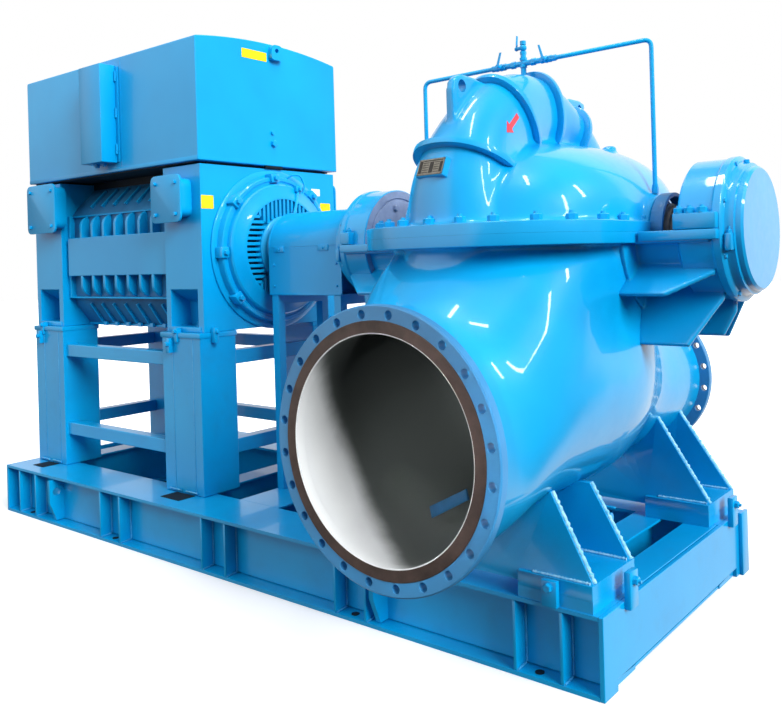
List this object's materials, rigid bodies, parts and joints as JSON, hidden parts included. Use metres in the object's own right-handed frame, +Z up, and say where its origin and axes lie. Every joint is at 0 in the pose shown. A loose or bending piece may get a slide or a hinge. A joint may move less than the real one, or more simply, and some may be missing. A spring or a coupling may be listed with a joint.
{
  "type": "split case centrifugal pump set",
  "caption": "Horizontal double suction split case pump driven through a guarded coupling by a box cooled electric motor on a stand, on one welded base.",
  "frame": {"origin": "middle of the base frame's underside, under the shaft line", "axes": "+X along the shaft from the motor to the pump's free end, +Z up, the suction flange faces -Y and the discharge flange +Y"},
  "size_m": [4.807, 2.24, 2.9],
  "materials": {
    "base_beam_a": "gloss sky blue enamel",
    "base_beam_b": "gloss sky blue enamel",
    "base_beam_c": "gloss sky blue enamel",
    "base_beam_d": "gloss sky blue enamel",
    "base_beam_e": "gloss sky blue enamel",
    "base_beam_f": "gloss sky blue enamel",
    "base_beam_g": "gloss sky blue enamel",
    "base_end_motor": "gloss sky blue enamel",
    "base_end_pump": "gloss sky blue enamel",
    "base_rail_front": "gloss sky blue enamel",
    "base_rail_rear": "gloss sky blue enamel",
    "bearing_housing_drive": "gloss sky blue enamel",
    "bearing_housing_free": "gloss sky blue enamel",
    "bracket_drive": "gloss sky blue enamel",
    "bracket_free": "gloss sky blue enamel",
    "cooler_box": "gloss sky blue enamel",
    "coupling_motor": "machined steel",
    "coupling_pump": "machined steel",
    "cover_left_front": "gloss sky blue enamel",
    "cover_left_rear": "gloss sky blue enamel",
    "cover_right_front": "gloss sky blue enamel",
    "cover_right_rear": "gloss sky blue enamel",
    "discharge_flange": "gloss sky blue enamel",
    "drive_shield": "gloss sky blue enamel",
    "flush_cross": "gloss sky blue enamel",
    "flush_lever_drive": "machined steel",
    "flush_lever_free": "machined steel",
    "flush_pipe_drive": "gloss sky blue enamel",
    "flush_pipe_free": "gloss sky blue enamel",
    "flush_valve_drive": "gloss blue enamel over brass",
    "flush_valve_free": "gloss blue enamel over brass",
    "gland_drive": "gloss sky blue enamel",
    "gland_free": "gloss sky blue enamel",
    "guard_legs_motor": "gloss sky blue enamel",
    "guard_legs_pump": "gloss sky blue enamel",
    "guard_lower": "gloss sky blue enamel",
    "guard_upper": "gloss sky blue enamel",
    "impeller": "cast, as cast skin",
    "lower_casing": "gloss sky blue enamel",
    "motor_frame": "gloss sky blue enamel",
    "motor_shaft": "machined steel",
    "pump_shaft": "machined steel",
    "rear_shield": "gloss sky blue enamel",
    "saddle_front": "gloss sky blue enamel",
    "saddle_rear": "gloss sky blue enamel",
    "stand_front": "gloss sky blue enamel",
    "stand_rear": "gloss sky blue enamel",
    "stand_tie_motor_high": "gloss sky blue enamel",
    "stand_tie_motor_low": "gloss sky blue enamel",
    "stand_tie_pump_high": "gloss sky blue enamel",
    "stand_tie_pump_low": "gloss sky blue enamel",
    "suction_flange": "gloss sky blue enamel",
    "terminal_box": "gloss sky blue enamel",
    "upper_casing": "gloss sky blue enamel",
    "vent_lever": "machined steel",
    "vent_valve": "gloss blue enamel over brass"
  },
  "bodies": {
    "root": {"base_beam_a": "base_beam_a", "base_beam_b": "base_beam_b", "base_beam_c": "base_beam_c", "base_beam_d": "base_beam_d", "base_beam_e": "base_beam_e", "base_beam_f": "base_beam_f", "base_beam_g": "base_beam_g", "base_end_motor": "base_end_motor", "base_end_pump": "base_end_pump", "base_rail_front": "base_rail_front", "base_rail_rear": "base_rail_rear", "bearing_housing_drive": "bearing_housing_drive", "bearing_housing_free": "bearing_housing_free", "bracket_drive": "bracket_drive", "bracket_free": "bracket_free", "cooler_box": "cooler_box", "cover_left_front": "cover_left_front", "cover_left_rear": "cover_left_rear", "cover_right_front": "cover_right_front", "cover_right_rear": "cover_right_rear", "discharge_flange": "discharge_flange", "drive_shield": "drive_shield", "flush_cross": "flush_cross", "flush_pipe_drive": "flush_pipe_drive", "flush_pipe_free": "flush_pipe_free", "flush_valve_drive": "flush_valve_drive", "flush_valve_free": "flush_valve_free", "gland_drive": "gland_drive", "gland_free": "gland_free", "guard_legs_motor": "guard_legs_motor", "guard_legs_pump": "guard_legs_pump", "guard_lower": "guard_lower", "guard_upper": "guard_upper", "lower_casing": "lower_casing", "motor_frame": "motor_frame", "rear_shield": "rear_shield", "saddle_front": "saddle_front", "saddle_rear": "saddle_rear", "stand_front": "stand_front", "stand_rear": "stand_rear", "stand_tie_motor_high": "stand_tie_motor_high", "stand_tie_motor_low": "stand_tie_motor_low", "stand_tie_pump_high": "stand_tie_pump_high", "stand_tie_pump_low": "stand_tie_pump_low", "suction_flange": "suction_flange", "terminal_box": "terminal_box", "upper_casing": "upper_casing", "vent_valve": "vent_valve"},
    "rotor": {"pump_shaft": "pump_shaft", "motor_shaft": "motor_shaft", "coupling_motor": "coupling_motor", "coupling_pump": "coupling_pump", "impeller": "impeller"},
    "lever_free": {"flush_lever_free": "flush_lever_free"},
    "lever_drive": {"flush_lever_drive": "flush_lever_drive"},
    "lever_vent": {"vent_lever": "vent_lever"}
  },
  "joints": [
    {"name": "rotor_spin", "type": "hinge", "parent": "root", "child": "rotor", "pos_m": [1.56, 0, 1.665], "axis": [1, 0, 0], "continuous": true},
    {"name": "flush_valve_free_turn", "type": "hinge", "parent": "root", "child": "lever_free", "pos_m": [1.67145, -0.239, 2.44], "axis": [0, 1, 0], "range_deg": [0, 90]},
    {"name": "flush_valve_drive_turn", "type": "hinge", "parent": "root", "child": "lever_drive", "pos_m": [1.43855, -0.239, 2.44], "axis": [0, -1, 0], "range_deg": [0, 90]},
    {"name": "vent_valve_turn", "type": "hinge", "parent": "root", "child": "lever_vent", "pos_m": [1.521, -0.205, 2.51], "axis": [1, 0, 0], "range_deg": [0, 90]}
  ]
}
